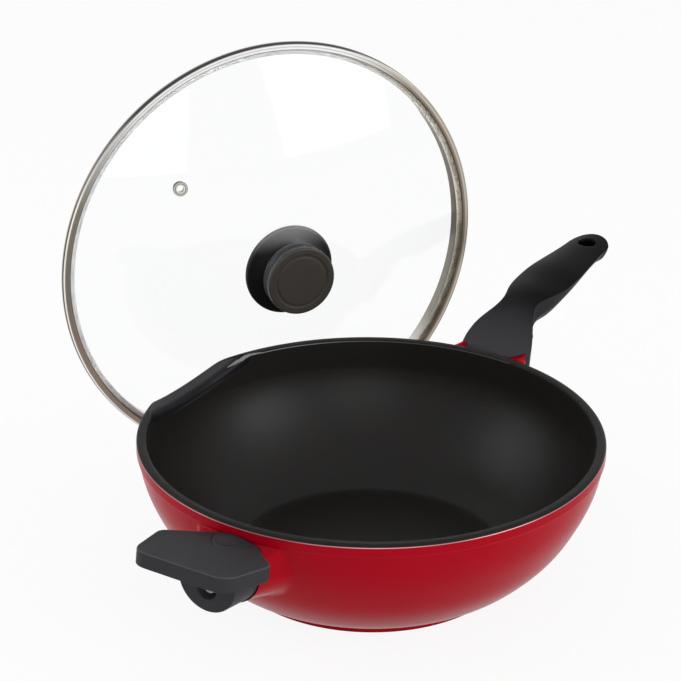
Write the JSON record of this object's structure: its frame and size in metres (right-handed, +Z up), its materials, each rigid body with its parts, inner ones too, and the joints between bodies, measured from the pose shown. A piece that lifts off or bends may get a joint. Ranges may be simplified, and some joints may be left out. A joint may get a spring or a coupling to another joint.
{
  "type": "wok pan with lid",
  "caption": "Deep round cast stovetop wok with a pouring scoop, a long moulded handle, a short helper handle and a separate domed glass lid standing against its rim.",
  "frame": {"origin": "centre of the pan's underside, in the plane it rests on", "axes": "+X along the long handle from the pan's axis, +Z up, the pouring scoop near +Y and the helper handle along -X"},
  "size_m": [0.517, 0.381, 0.3028],
  "materials": {
    "lacquered_casting": "cast aluminium, glossy red lacquer outside, dark grey non-stick coating inside and over the lip",
    "disc_steel": "turned stainless steel",
    "handle_plastic": "charcoal soft-touch plastic",
    "screw_steel": "zinc-plated steel",
    "lid_glass": "clear tempered glass",
    "band_steel": "polished stainless steel",
    "knob_plastic": "satin brownish black phenolic",
    "brass": "machined brass",
    "seal_rubber": "grey silicone"
  },
  "bodies": {
    "pan": {"wok_body": "lacquered_casting", "base_disc": "disc_steel", "long_handle": "handle_plastic", "long_handle_washer": "screw_steel", "long_handle_screw": "screw_steel", "side_handle": "handle_plastic", "side_handle_washer": "screw_steel", "side_handle_screw": "screw_steel"},
    "lid": {"lid_glass": "lid_glass", "lid_rim_band": "band_steel", "vent_eyelet": "band_steel", "knob": "knob_plastic", "knob_insert": "brass", "knob_seal": "seal_rubber", "knob_washer": "screw_steel", "knob_screw": "screw_steel"}
  },
  "joints": [
    {"name": "lid_lift", "type": "slide", "parent": "pan", "child": "lid", "axis": [0, 0, 1], "range_m": [0, 0.22]}
  ]
}
